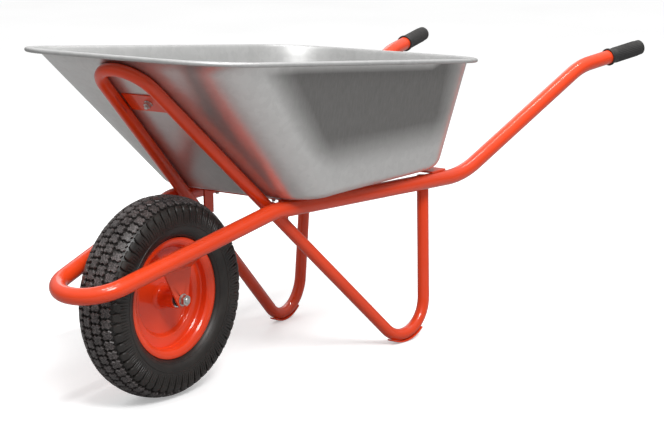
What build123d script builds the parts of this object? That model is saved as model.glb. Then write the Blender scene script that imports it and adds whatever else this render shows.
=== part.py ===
from build123d import *
import os
from math import atan2, cos, pi, sin, sqrt, tan

# Single-wheel wheelbarrow with a galvanised pan, a bent tube frame and a pneumatic wheel.
# Millimetres. +X runs back towards the handles, +Y is the user's right, +Z is up.
# Every x below is measured from the wheel axle; the finished barrow is then slid along X
# so that its origin is the middle of its footprint, on the ground.

# ---------------------------------------------------------------- wheel
TYRE_RADIUS = 195.0
AXLE_HEIGHT = TYRE_RADIUS
TYRE_CROWN_HALF = 24.0
TYRE_SHOULDER = (189.5, 38.0)
TYRE_UPPER_WALL = (178.0, 47.5)
TYRE_BELLY = (148.0, 50.5)
TYRE_FLANGE_FOOT = (108.5, 30.4)
TYRE_FLANGE_TOP = (117.5, 32.0)
TYRE_CROWN_EDGE_RADIUS = 193.2
TYRE_TREAD_THICKNESS = 11.0
BEAD_RADIUS = 102.0
BEAD_TOE_Y = 17.0
BEAD_HEEL_Y = 24.5
CAVITY_FOOT = (110.0, 19.0)
CAVITY_WALL = (148.0, 44.0)
CAVITY_SHOULDER = (178.0, 34.0)
TUBE_RING_RADIUS = 145.0
TUBE_HALF_HEIGHT = 37.0
TUBE_HALF_WIDTH = 37.5
TUBE_WALL = 2.5

RIM_SHEET = 2.2
RIM_BORE = 27.0
RIM_LIP_RADIUS = 116.0
RIM_LIP_Y = 33.6
RIM_FLANGE_BEND = (108.5, 32.6)
RIM_FLANGE_FOOT = (103.5, 30.2)
RIM_SEAT_RADIUS = 100.5
RIM_SEAT_OUTER_Y = 26.6
RIM_SEAT_INNER_Y = 14.9
RIM_WELL_RADIUS = 98.0
RIM_WELL_Y = 11.9
RIM_STEP_RADIUS = 77.5
RIM_DISC_RADIUS = 73.0

HUB_RADIUS = 18.5
HUB_COLLAR_RADIUS = RIM_BORE - 0.1
HUB_COLLAR_HALF = 6.0
HUB_HALF_LENGTH = 42.0
HUB_BORE_RADIUS = 13.0
BEARING_OUTER_RADIUS = 16.0
BEARING_WIDTH = 10.0
BEARING_INSET = 1.0
BEARING_RACE_OUTER = 13.7
BEARING_RACE_INNER = 8.1
BALL_RADIUS = 2.75
BALL_COUNT = 7
SEAL_THICKNESS = 0.8
SEAL_INSET = 0.3
SEAL_GAP = 0.35
FIT = 0.03

AXLE_RADIUS = 6.0
AXLE_NUT_FLATS = 19.0
AXLE_NUT_HEIGHT = 9.0
AXLE_HEAD_HEIGHT = 7.5
AXLE_WASHER_RADIUS = 12.0
AXLE_WASHER_THICKNESS = 1.6
AXLE_THREAD_END = 2.5
AXLE_HOLE_RADIUS = 6.3
SPACER_RADIUS = 9.0

VALVE_RING_RADIUS = 88.5
VALVE_ANGLE = 200.0
VALVE_STEM_RADIUS = 4.0
VALVE_HOLE_RADIUS = 5.2
VALVE_TIP_Y = 36.0
VALVE_FOOT_RADIUS = 107.0
VALVE_CAP_RADIUS = 5.2
VALVE_CAP_LENGTH = 11.0
VALVE_CAP_BORE_DEPTH = 7.5
VALVE_CAP_CLEARANCE = 0.1

# ---------------------------------------------------------------- main frame tube
MAIN_TUBE_RADIUS = 16.0
MAIN_TUBE_WALL = 1.5
BUMPER_FRONT = (-241.3, 63.3, 245.7)
RAIL_BEND = (181.3, 133.2, 344.1)
HANDLE_LOWER_BEND = (747.1, 194.6, 335.2)
HANDLE_UPPER_BEND = (1128.9, 266.3, 533.4)
GRIP_END = (1340.0, 306.0, 559.0)
BUMPER_BEND_RADIUS = 72.0
RAIL_BEND_RADIUS = 175.0
LOWER_BEND_RADIUS = 194.0
UPPER_BEND_RADIUS = 181.0

# ---------------------------------------------------------------- leg and brace tube
LEG_TUBE_RADIUS = 12.5
LEG_TUBE_WALL = 1.5
LEG_TOP = (656.4, 155.6, 345.0)
FOOT_VERTEX = (633.1, 173.2, -72.0)
BRACE_TOP = (-107.8, 55.0, 640.0)
FOOT_BEND_RADIUS = 72.2
BRACE_BEND_RADIUS = 59.0
SKID_THICKNESS = 3.0
SKID_WIDTH = 18.0
SKID_SWEEP = 66.0
SKID_TURN = 15.0
WELD_GAP = 0.2

# ---------------------------------------------------------------- tray
SHEET = 1.0
FLOOR_Z = 362.0
FLOOR_FRONT = 201.5
FLOOR_REAR = 697.0
FLOOR_HALF = 208.0
FLOOR_FRONT_CORNER = 87.0
FLOOR_REAR_CORNER = 93.0
RIM_FRONT = -120.0
RIM_REAR = 754.0
RIM_FRONT_HALF = 259.0
RIM_REAR_HALF = 263.0
RIM_FRONT_Z = 670.0
RIM_REAR_Z = 590.0
RIM_FRONT_CORNER = 120.0
RIM_REAR_CORNER = 124.0
FLOOR_EDGE_RADIUS = 33.0
FLANGE_WIDTH = 21.0
HEM_WIDTH = 8.0
HEM_HEIGHT = 8.5

# ---------------------------------------------------------------- brackets and straps
STRAP = 4.0
FRONT_STRAP_X = 255.0
FRONT_STRAP_WIDTH = 27.0
FRONT_STRAP_HEIGHT = 10.0
FRONT_STRAP_HALF = 130.0
TAB_Y = 97.0
TAB_FOOT_Z = 303.0
REAR_STRAP_X = 668.0
REAR_STRAP_WIDTH = 50.0
REAR_STRAP_RUN = [(190.0, 354.7), (150.0, 354.7), (135.0, 360.0)]
BRACKET_THICKNESS = 4.0
BRACKET_Y = 50.0
BRACKET_END_RADIUS = 15.0
BRACKET_FRONT = -50.0
BRACKET_REAR = 27.0
BRACKET_KNEE_Z = 255.0
BRACKET_TOP_Z = 299.0
BRACKET_TOP_Y = 99.0
PLATE = 3.0
PLATE_TOP_SHARE = 0.273
PLATE_FOOT_SHARE = 0.385
PLATE_TOP_HALF = 55.0
PLATE_FOOT_HALF = 61.0

# ---------------------------------------------------------------- tray bolts and grips
BOLT_RADIUS = 4.0
BOLT_HOLE_RADIUS = 4.3
BOLT_HEAD_RADIUS = 9.0
BOLT_HEAD_HEIGHT = 4.0
BOLT_HEAD_ROUNDING = 2.8
BOLT_END = 5.0
NUT_FLATS = 13.0
NUT_HEIGHT = 6.5
WASHER_RADIUS = 8.5
WASHER_THICKNESS = 1.6
BOLT_SPACING_HALF = 73.0
FRONT_BOLT_X = FRONT_STRAP_X
REAR_BOLT_X = 661.0
PLATE_BOLT_AT = 0.323
GRIP_RADIUS = 18.0
GRIP_LENGTH = 118.0
GRIP_LIP_RADIUS = 20.0
GRIP_LIP_LENGTH = 5.0
GRIP_END_WALL = 4.5
GRIP_BORE_RADIUS = MAIN_TUBE_RADIUS + 0.1


def mirrored(point):
    return (point[0], -point[1], point[2])


def left_to_right(points):
    """A half path on the user's right, continued by its mirror image on the left."""
    return points + [mirrored(p) for p in reversed(points)]


def toward(start, end, distance):
    """The point that lies a distance from start on the way to end."""
    step = Vector(*end) - Vector(*start)
    return Vector(*start) + step.normalized() * distance


def tube_along(path, radius, inner_radius=None):
    """A round bar or tube swept along a wire."""
    section = Circle(radius)
    if inner_radius:
        section = section - Circle(inner_radius)
    start = Plane(origin=path @ 0, z_dir=path % 0)
    return sweep(start * section, path=path, transition=Transition.RIGHT)


# ---------------------------------------------------------------- wheel pieces
def wheel_turned(profile):
    """Turn a face drawn as (radius, y) about the axle."""
    return Pos(0, 0, AXLE_HEIGHT) * revolve(profile, Axis.Y)


def ring(outer, inner, y_low, y_high):
    """A plain ring about the axle."""
    middle = (y_low + y_high) / 2
    width = y_high - y_low
    face = Pos((outer + inner) / 2, middle) * Rectangle(outer - inner, width)
    return wheel_turned(face)


def flip_y(point):
    return (point[0], -point[1])


def tyre():
    crown_edge = (TYRE_CROWN_EDGE_RADIUS, TYRE_CROWN_HALF)
    crown = (TYRE_RADIUS, 0)
    toe = (BEAD_RADIUS, BEAD_TOE_Y)
    heel = (BEAD_RADIUS, BEAD_HEEL_Y)
    cavity_top = (TYRE_RADIUS - TYRE_TREAD_THICKNESS, 0)
    edges = [
        Line(toe, heel),
        Line(heel, TYRE_FLANGE_FOOT),
        Line(TYRE_FLANGE_FOOT, TYRE_FLANGE_TOP),
        ThreePointArc(TYRE_FLANGE_TOP, TYRE_BELLY, TYRE_UPPER_WALL),
        ThreePointArc(TYRE_UPPER_WALL, TYRE_SHOULDER, crown_edge),
        ThreePointArc(crown_edge, crown, flip_y(crown_edge)),
        ThreePointArc(flip_y(crown_edge), flip_y(TYRE_SHOULDER), flip_y(TYRE_UPPER_WALL)),
        ThreePointArc(flip_y(TYRE_UPPER_WALL), flip_y(TYRE_BELLY), flip_y(TYRE_FLANGE_TOP)),
        Line(flip_y(TYRE_FLANGE_TOP), flip_y(TYRE_FLANGE_FOOT)),
        Line(flip_y(TYRE_FLANGE_FOOT), flip_y(heel)),
        Line(flip_y(heel), flip_y(toe)),
        Line(flip_y(toe), flip_y(CAVITY_FOOT)),
        ThreePointArc(flip_y(CAVITY_FOOT), flip_y(CAVITY_WALL), flip_y(CAVITY_SHOULDER)),
        ThreePointArc(flip_y(CAVITY_SHOULDER), cavity_top, CAVITY_SHOULDER),
        ThreePointArc(CAVITY_SHOULDER, CAVITY_WALL, CAVITY_FOOT),
        Line(CAVITY_FOOT, toe),
    ]
    return wheel_turned(make_face(Wire(edges)))


def inner_tube():
    outside = Ellipse(TUBE_HALF_HEIGHT, TUBE_HALF_WIDTH)
    inside = Ellipse(TUBE_HALF_HEIGHT - TUBE_WALL, TUBE_HALF_WIDTH - TUBE_WALL)
    return wheel_turned(Pos(TUBE_RING_RADIUS, 0) * (outside - inside))


def offset_side(points, distance):
    """Points beside an open run of points, with mitred corners."""
    vectors = [Vector(*p) for p in points]
    steps = [(end - start).normalized() for start, end in zip(vectors, vectors[1:])]
    normals = [Vector(-step.Y, step.X) for step in steps]
    moved = []
    for here, before, after in zip(vectors, normals[:1] + normals, normals + normals[-1:]):
        mitre = (before + after).normalized()
        moved.append(here + mitre * (distance / mitre.dot(after)))
    return moved


def strip(points, thickness):
    """A closed outline of one thickness about an open run of points."""
    one_side = offset_side(points, thickness / 2)
    other_side = offset_side(points, -thickness / 2)
    return make_face(Polyline(*(one_side + other_side[::-1]), close=True))


def rim_half():
    """The pressed steel half rim on the user's right."""
    half_sheet = RIM_SHEET / 2
    middle_line = [
        (RIM_BORE, half_sheet),
        (RIM_DISC_RADIUS, half_sheet),
        (RIM_STEP_RADIUS, RIM_WELL_Y),
        (RIM_WELL_RADIUS, RIM_WELL_Y),
        (RIM_SEAT_RADIUS, RIM_SEAT_INNER_Y),
        (RIM_SEAT_RADIUS, RIM_SEAT_OUTER_Y),
        RIM_FLANGE_FOOT,
        RIM_FLANGE_BEND,
        (RIM_LIP_RADIUS, RIM_LIP_Y),
    ]
    return wheel_turned(strip(middle_line, RIM_SHEET))


def at_valve(shape):
    """Turn a piece drawn above the axle round to the valve's place."""
    return Pos(0, 0, AXLE_HEIGHT) * Rot(0, VALVE_ANGLE, 0) * shape


def valve_hole():
    through = Cylinder(VALVE_HOLE_RADIUS, 4 * RIM_SHEET)
    return at_valve(Pos(0, RIM_WELL_Y, VALVE_RING_RADIUS) * Rot(90, 0, 0) * through)


def valve_stem():
    """A bent stem: out of the inner tube, then out through the rim's side wall."""
    outward = Rot(90, 0, 0) * Cylinder(VALVE_STEM_RADIUS, VALVE_TIP_Y)
    rise = VALVE_FOOT_RADIUS - VALVE_RING_RADIUS
    bend = Pos(0, 0, VALVE_RING_RADIUS)
    stem = bend * Pos(0, VALVE_TIP_Y / 2, 0) * outward
    stem = stem + bend * Pos(0, VALVE_STEM_RADIUS, rise / 2) * Cylinder(VALVE_STEM_RADIUS, rise)
    stem = stem + bend * Pos(0, VALVE_STEM_RADIUS, 0) * Sphere(VALVE_STEM_RADIUS)
    return at_valve(stem)


def valve_cap():
    """A cap that hides the end of the stem."""
    base = (Align.CENTER, Align.CENTER, Align.MIN)
    cap = Cylinder(VALVE_CAP_RADIUS, VALVE_CAP_LENGTH, align=base)
    bore_radius = VALVE_STEM_RADIUS + VALVE_CAP_CLEARANCE
    cap = cap - Cylinder(bore_radius, VALVE_CAP_BORE_DEPTH, align=base)
    mouth_y = VALVE_TIP_Y - VALVE_CAP_BORE_DEPTH + VALVE_CAP_CLEARANCE
    return at_valve(Pos(0, mouth_y, VALVE_RING_RADIUS) * Rot(-90, 0, 0) * cap)


BEARING_FAR = HUB_HALF_LENGTH - BEARING_INSET
BEARING_NEAR = BEARING_FAR - BEARING_WIDTH


def hub():
    barrel = ring(HUB_RADIUS, HUB_BORE_RADIUS, -HUB_HALF_LENGTH, HUB_HALF_LENGTH)
    collar = ring(HUB_COLLAR_RADIUS, HUB_BORE_RADIUS, -HUB_COLLAR_HALF, HUB_COLLAR_HALF)
    body = barrel + collar
    right_pocket = ring(BEARING_OUTER_RADIUS, AXLE_RADIUS, BEARING_NEAR, HUB_HALF_LENGTH)
    left_pocket = ring(BEARING_OUTER_RADIUS, AXLE_RADIUS, -HUB_HALF_LENGTH, -BEARING_NEAR)
    return body - right_pocket - left_pocket


def both_bearings(make_one):
    """The same piece of the right and of the left bearing."""
    return make_one(BEARING_NEAR, BEARING_FAR) + make_one(-BEARING_FAR, -BEARING_NEAR)


def bearing_outer_ring(y_low, y_high):
    return [ring(BEARING_OUTER_RADIUS - FIT, BEARING_RACE_OUTER, y_low, y_high)]


def bearing_inner_ring(y_low, y_high):
    return [ring(BEARING_RACE_INNER, AXLE_RADIUS + FIT, y_low, y_high)]


def bearing_ball_row(y_low, y_high):
    pitch_radius = (BEARING_RACE_OUTER + BEARING_RACE_INNER) / 2
    balls = []
    centre = Pos(0, (y_low + y_high) / 2, AXLE_HEIGHT)
    for i in range(BALL_COUNT):
        angle = 2 * pi * i / BALL_COUNT
        place = Pos(pitch_radius * cos(angle), 0, pitch_radius * sin(angle))
        balls.append(centre * place * Sphere(BALL_RADIUS))
    return balls


def bearing_seal_pair(y_low, y_high):
    """Thin shields that close a bearing on both faces and clear its inner ring."""
    inside = BEARING_RACE_INNER + SEAL_GAP
    near = y_low + SEAL_INSET
    far = y_high - SEAL_INSET
    return [
        ring(BEARING_RACE_OUTER, inside, near, near + SEAL_THICKNESS),
        ring(BEARING_RACE_OUTER, inside, far - SEAL_THICKNESS, far),
    ]


# ---------------------------------------------------------------- axle
def hexagon(flats, height):
    return extrude(RegularPolygon(flats / sqrt(3), 6), amount=height)


BRACKET_OUTER_Y = BRACKET_Y + BRACKET_THICKNESS
NUT_INNER_Y = BRACKET_OUTER_Y + AXLE_WASHER_THICKNESS


def axle_bolt():
    """Head on the user's right, thread end on the left."""
    left_end = -(NUT_INNER_Y + AXLE_NUT_HEIGHT + AXLE_THREAD_END)
    shank = ring(AXLE_RADIUS, 0, left_end, NUT_INNER_Y)
    head = Pos(0, NUT_INNER_Y + AXLE_HEAD_HEIGHT, AXLE_HEIGHT) * Rot(90, 0, 0)
    return shank + head * hexagon(AXLE_NUT_FLATS, AXLE_HEAD_HEIGHT)


def axle_nut():
    nut = hexagon(AXLE_NUT_FLATS, AXLE_NUT_HEIGHT) - Cylinder(AXLE_RADIUS + FIT, 3 * AXLE_NUT_HEIGHT)
    return Pos(0, -NUT_INNER_Y, AXLE_HEIGHT) * Rot(90, 0, 0) * nut


def axle_washers():
    return [
        ring(AXLE_WASHER_RADIUS, AXLE_HOLE_RADIUS, BRACKET_OUTER_Y, NUT_INNER_Y),
        ring(AXLE_WASHER_RADIUS, AXLE_HOLE_RADIUS, -NUT_INNER_Y, -BRACKET_OUTER_Y),
    ]


def axle_spacers():
    return [
        ring(SPACER_RADIUS, AXLE_HOLE_RADIUS, BEARING_FAR, BRACKET_Y),
        ring(SPACER_RADIUS, AXLE_HOLE_RADIUS, -BRACKET_Y, -BEARING_FAR),
    ]


def centre_spacer():
    return ring(SPACER_RADIUS, AXLE_HOLE_RADIUS, -BEARING_NEAR, BEARING_NEAR)


# ---------------------------------------------------------------- frame tubes
def main_tube_path():
    tube_end = toward(GRIP_END, HANDLE_UPPER_BEND, GRIP_END_WALL)
    half = [tuple(tube_end), HANDLE_UPPER_BEND, HANDLE_LOWER_BEND, RAIL_BEND, BUMPER_FRONT]
    half_radii = [UPPER_BEND_RADIUS, LOWER_BEND_RADIUS, RAIL_BEND_RADIUS, BUMPER_BEND_RADIUS]
    return Wire(FilletPolyline(*left_to_right(half), radius=half_radii + half_radii[::-1]).edges())


def main_tube():
    return tube_along(main_tube_path(), MAIN_TUBE_RADIUS, MAIN_TUBE_RADIUS - MAIN_TUBE_WALL)


def leg_tube_path():
    half_radii = [FOOT_BEND_RADIUS, BRACE_BEND_RADIUS]
    points = left_to_right([LEG_TOP, FOOT_VERTEX, BRACE_TOP])
    return Wire(FilletPolyline(*points, radius=half_radii + half_radii[::-1]).edges())


def leg_tube():
    return tube_along(leg_tube_path(), LEG_TUBE_RADIUS, LEG_TUBE_RADIUS - LEG_TUBE_WALL)


def skid_plate():
    """A curved strap under the foot bend on the user's right, turned a little towards the brace."""
    corner = Vector(*FOOT_VERTEX)
    up_leg = (Vector(*LEG_TOP) - corner).normalized()
    up_brace = (Vector(*BRACE_TOP) - corner).normalized()
    inward = (up_leg + up_brace).normalized()
    half_turn = up_leg.get_angle(up_brace) / 2 * pi / 180
    centre = corner + inward * (FOOT_BEND_RADIUS / sin(half_turn))
    bend_plane = Plane(origin=centre, x_dir=-inward, z_dir=up_brace.cross(up_leg).normalized())
    inner = FOOT_BEND_RADIUS + LEG_TUBE_RADIUS + WELD_GAP
    outer = inner + SKID_THICKNESS
    reach = 2 * outer
    half_sweep = SKID_SWEEP / 2 * pi / 180
    side = reach * tan(half_sweep)
    wedge = make_face(Polyline((0, 0), (reach, -side), (reach, side), close=True))
    strap = (Circle(outer) - Circle(inner)) & wedge
    turned = Rot(0, 0, SKID_TURN) * strap
    return extrude(bend_plane * turned, amount=SKID_WIDTH / 2, both=True)


# ---------------------------------------------------------------- tray
RIM_SLOPE = (RIM_REAR_Z - RIM_FRONT_Z) / (RIM_REAR - RIM_FRONT)
RIM_PITCH = atan2(RIM_SLOPE, 1)
RIM_ORIGIN_Z = RIM_FRONT_Z - RIM_SLOPE * RIM_FRONT
RIM_PLANE = Plane(
    origin=(0, 0, RIM_ORIGIN_Z),
    x_dir=(cos(RIM_PITCH), 0, sin(RIM_PITCH)),
    z_dir=(-sin(RIM_PITCH), 0, cos(RIM_PITCH)),
)


def rounded_outline(front, rear, front_half, rear_half, front_corner, rear_corner):
    corners = [(front, -front_half), (rear, -rear_half), (rear, rear_half), (front, front_half)]
    radii = [front_corner, rear_corner, rear_corner, front_corner]
    line = FilletPolyline(*corners, radius=radii, close=True)
    return make_face(Wire(line.edges()))


def rim_outline(grow):
    """The pan's mouth in its own sloping plane, grown outwards all round."""
    return rounded_outline(
        RIM_FRONT / cos(RIM_PITCH) - grow,
        RIM_REAR / cos(RIM_PITCH) + grow,
        RIM_FRONT_HALF + grow,
        RIM_REAR_HALF + grow,
        RIM_FRONT_CORNER + grow,
        RIM_REAR_CORNER + grow,
    )


def pan_solid(inset):
    """The pan as a full block; inset by the sheet it becomes the space inside."""
    floor_plane = Plane.XY.offset(FLOOR_Z + inset)
    floor = rounded_outline(
        FLOOR_FRONT + inset,
        FLOOR_REAR - inset,
        FLOOR_HALF - inset,
        FLOOR_HALF - inset,
        FLOOR_FRONT_CORNER - inset,
        FLOOR_REAR_CORNER - inset,
    )
    block = loft([floor_plane * floor, RIM_PLANE * rim_outline(-inset)], ruled=True)
    lowest = block.faces().sort_by(Axis.Z)[0]
    return fillet(lowest.edges(), FLOOR_EDGE_RADIUS - inset)


def rim_ring(outer_grow, inner_grow, depth):
    """A band round the mouth that hangs down from the rim plane."""
    band = rim_outline(outer_grow) - rim_outline(inner_grow)
    return extrude(RIM_PLANE * band, amount=-depth)


FRONT_WALL_START = Vector(RIM_FRONT, 0, RIM_FRONT_Z)
FRONT_WALL_END = Vector(FLOOR_FRONT, 0, FLOOR_Z)
FRONT_WALL_DOWN = (FRONT_WALL_END - FRONT_WALL_START).normalized()
FRONT_WALL_LENGTH = (FRONT_WALL_END - FRONT_WALL_START).length
FRONT_WALL_OUT = Vector(FRONT_WALL_DOWN.Z, 0, -FRONT_WALL_DOWN.X)


def on_front_wall(share):
    """The outside of the front wall, on the middle line, at a share of its length down."""
    origin = FRONT_WALL_START + FRONT_WALL_DOWN * (FRONT_WALL_LENGTH * share)
    return Plane(origin=origin, x_dir=FRONT_WALL_DOWN, z_dir=FRONT_WALL_OUT)


def bolt_places():
    """Planes on the outside of the tray at its bolts, and the stack that each bolt clamps."""
    places = []
    for x in (FRONT_BOLT_X, REAR_BOLT_X):
        for y in (-BOLT_SPACING_HALF, BOLT_SPACING_HALF):
            places.append((Plane(origin=(x, y, FLOOR_Z), x_dir=(1, 0, 0), z_dir=(0, 0, -1)), STRAP))
    places.append((on_front_wall(PLATE_BOLT_AT), PLATE + WELD_GAP))
    return places


def bolt_holes():
    return [place * Cylinder(BOLT_HOLE_RADIUS, 4 * BOLT_HEAD_RADIUS) for place, stack in bolt_places()]


def drilled(solid):
    for hole in bolt_holes():
        solid = solid - hole
    return solid


def tray():
    flange = rim_ring(FLANGE_WIDTH, -2 * SHEET, SHEET)
    hem = rim_ring(FLANGE_WIDTH, FLANGE_WIDTH - HEM_WIDTH, HEM_HEIGHT)
    pan = pan_solid(0) + flange + hem
    return drilled(pan - pan_solid(SHEET))


def tray_bolts():
    bolts = []
    for place, stack in bolt_places():
        length = stack + WASHER_THICKNESS + NUT_HEIGHT + BOLT_END
        shank = Pos(0, 0, (length - SHEET) / 2) * Cylinder(BOLT_RADIUS, length + SHEET)
        head = Pos(0, 0, -SHEET - BOLT_HEAD_HEIGHT / 2) * Cylinder(BOLT_HEAD_RADIUS, BOLT_HEAD_HEIGHT)
        head = fillet(head.edges().sort_by(Axis.Z)[0], BOLT_HEAD_ROUNDING)
        bolts.append(place * (shank + head))
    return bolts


def tray_washers():
    washer = extrude(Circle(WASHER_RADIUS) - Circle(BOLT_HOLE_RADIUS), amount=WASHER_THICKNESS)
    return [place * Pos(0, 0, stack) * washer for place, stack in bolt_places()]


def tray_nuts():
    nut = hexagon(NUT_FLATS, NUT_HEIGHT) - Cylinder(BOLT_RADIUS + FIT, 3 * NUT_HEIGHT)
    return [place * Pos(0, 0, stack + WASHER_THICKNESS) * nut for place, stack in bolt_places()]


# ---------------------------------------------------------------- straps and brackets
def front_cross_member():
    """A shallow channel from rail to rail, with a tab on each side that comes down to the brace."""
    top_face = (Align.CENTER, Align.CENTER, Align.MAX)
    across = 2 * FRONT_STRAP_HALF
    outside = Box(FRONT_STRAP_WIDTH, across, FRONT_STRAP_HEIGHT, align=top_face)
    inside = Box(FRONT_STRAP_WIDTH - 2 * STRAP, across, FRONT_STRAP_HEIGHT, align=top_face)
    channel = Pos(FRONT_STRAP_X, 0, FLOOR_Z) * (outside - Pos(0, 0, -STRAP) * inside)
    tab = Box(FRONT_STRAP_WIDTH, STRAP, FLOOR_Z - TAB_FOOT_Z, align=top_face)
    for y in (-TAB_Y, TAB_Y):
        channel += Pos(FRONT_STRAP_X, y, FLOOR_Z) * tab
    channel -= tube_along(leg_tube_path(), LEG_TUBE_RADIUS + WELD_GAP)
    return drilled(channel - tube_along(main_tube_path(), MAIN_TUBE_RADIUS + WELD_GAP))


def rear_cross_member():
    """A flat strap under the back of the floor, joggled down where it rests on the rails."""
    other_side = [(-y, z) for y, z in reversed(REAR_STRAP_RUN)]
    front = REAR_STRAP_X - REAR_STRAP_WIDTH / 2
    side_plane = Plane(origin=(front, 0, 0), x_dir=(0, 1, 0), z_dir=(1, 0, 0))
    strap = extrude(side_plane * strip(REAR_STRAP_RUN + other_side, STRAP), amount=REAR_STRAP_WIDTH)
    return drilled(strap - tube_along(main_tube_path(), MAIN_TUBE_RADIUS + WELD_GAP))


def bracket_outline():
    """Broad at the rail, tapering from the knee to the rounded end at the axle."""
    eye = Pos(0, AXLE_HEIGHT) * Circle(BRACKET_END_RADIUS)
    knee = Polyline((BRACKET_FRONT, BRACKET_KNEE_Z), (BRACKET_REAR, BRACKET_KNEE_Z))
    taper = make_hull(eye.edges() + knee.edges())
    rise = 2 * (BRACKET_TOP_Z - BRACKET_KNEE_Z)
    middle_x = (BRACKET_FRONT + BRACKET_REAR) / 2
    top = Pos(middle_x, BRACKET_KNEE_Z + rise / 2) * Rectangle(BRACKET_REAR - BRACKET_FRONT, rise)
    return taper + top


def axle_bracket():
    """The plate that hangs from the right rail and carries the axle."""
    run = [
        (BRACKET_Y + BRACKET_THICKNESS / 2, AXLE_HEIGHT - BRACKET_END_RADIUS),
        (BRACKET_Y + BRACKET_THICKNESS / 2, BRACKET_KNEE_Z),
        (BRACKET_TOP_Y, BRACKET_TOP_Z),
    ]
    side_plane = Plane(origin=(BRACKET_FRONT, 0, 0), x_dir=(0, 1, 0), z_dir=(1, 0, 0))
    bent = extrude(side_plane * strip(run, BRACKET_THICKNESS), amount=BRACKET_REAR - BRACKET_FRONT)
    front_view = Plane(origin=(0, 0, 0), x_dir=(1, 0, 0), z_dir=(0, -1, 0))
    shape = extrude(front_view * bracket_outline(), amount=-2 * BRACKET_TOP_Y)
    bracket = (bent & shape) - ring(AXLE_HOLE_RADIUS, 0, 0, 2 * BRACKET_Y)
    return bracket - tube_along(main_tube_path(), MAIN_TUBE_RADIUS + WELD_GAP)


def brace_plate():
    """The plate between the brace arms that is bolted to the tray's front wall."""
    foot = FRONT_WALL_LENGTH * (PLATE_FOOT_SHARE - PLATE_BOLT_AT)
    top = FRONT_WALL_LENGTH * (PLATE_TOP_SHARE - PLATE_BOLT_AT)
    one_side = [(top, -PLATE_TOP_HALF), (foot, -PLATE_FOOT_HALF)]
    other_side = [(foot, PLATE_FOOT_HALF), (top, PLATE_TOP_HALF)]
    outline = Polyline(*(one_side + other_side), close=True)
    plane = on_front_wall(PLATE_BOLT_AT).offset(WELD_GAP)
    plate = extrude(plane * make_face(outline), amount=PLATE)
    return drilled(plate - tube_along(leg_tube_path(), LEG_TUBE_RADIUS + WELD_GAP))


# ---------------------------------------------------------------- grips
def grip():
    """The moulded sleeve on the right handle, closed at its outer end."""
    back = (Vector(*HANDLE_UPPER_BEND) - Vector(*GRIP_END)).normalized()
    sleeve = Cylinder(GRIP_RADIUS, GRIP_LENGTH, align=(Align.CENTER, Align.CENTER, Align.MIN))
    sleeve = fillet(sleeve.edges().sort_by(Axis.Z)[0], GRIP_END_WALL)
    lip = Pos(0, 0, GRIP_LENGTH - GRIP_LIP_LENGTH / 2) * Cylinder(GRIP_LIP_RADIUS, GRIP_LIP_LENGTH)
    bore = Pos(0, 0, GRIP_END_WALL + GRIP_LENGTH / 2) * Cylinder(GRIP_BORE_RADIUS, GRIP_LENGTH)
    return Plane(origin=GRIP_END, z_dir=back) * (sleeve + lip - bore)


# ---------------------------------------------------------------- the whole barrow
def both_sides(make_right, name):
    """A piece on the user's right and its mirror image on the left."""
    right = make_right()
    return {"right_" + name: right, "left_" + name: mirror(right, about=Plane.XZ)}


def right_rim_half():
    return rim_half() - valve_hole()


def all_pieces():
    pieces = {
        "main_tube": main_tube(),
        "leg_tube": leg_tube(),
        "front_cross_member": front_cross_member(),
        "rear_cross_member": rear_cross_member(),
        "brace_plate": brace_plate(),
        "tray": tray(),
        "tray_bolts": tray_bolts(),
        "tray_washers": tray_washers(),
        "tray_nuts": tray_nuts(),
        "axle_bolt": axle_bolt(),
        "axle_nut": axle_nut(),
        "axle_washers": axle_washers(),
        "axle_spacers": axle_spacers(),
        "centre_spacer": centre_spacer(),
        "bearing_inner_rings": both_bearings(bearing_inner_ring),
        "bearing_outer_rings": both_bearings(bearing_outer_ring),
        "bearing_balls": both_bearings(bearing_ball_row),
        "bearing_seals": both_bearings(bearing_seal_pair),
        "hub": hub(),
        "right_rim_half": right_rim_half(),
        "left_rim_half": mirror(rim_half(), about=Plane.XZ),
        "tyre": tyre(),
        "inner_tube": inner_tube(),
        "valve_stem": valve_stem(),
        "valve_cap": valve_cap(),
    }
    pieces.update(both_sides(axle_bracket, "axle_bracket"))
    pieces.update(both_sides(skid_plate, "skid_plate"))
    pieces.update(both_sides(grip, "grip"))
    return pieces


def as_one(shape):
    """A group of separate solids becomes one compound."""
    if isinstance(shape, list):
        return Compound(children=shape)
    return shape


def write_parts(pieces):
    os.makedirs("parts", exist_ok=True)
    shapes = {name: as_one(piece) for name, piece in pieces.items()}
    front = min(shape.bounding_box().min.X for shape in shapes.values())
    rear = max(shape.bounding_box().max.X for shape in shapes.values())
    slide = Location((-(front + rear) / 2, 0, 0))
    for name, shape in shapes.items():
        export_step(shape.moved(slide), "parts/" + name + ".step")


write_parts(all_pieces())
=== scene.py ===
import random
from math import cos, hypot, pi, radians, sin, tan

import bmesh
import bpy
from mathutils import Matrix, Vector


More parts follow.
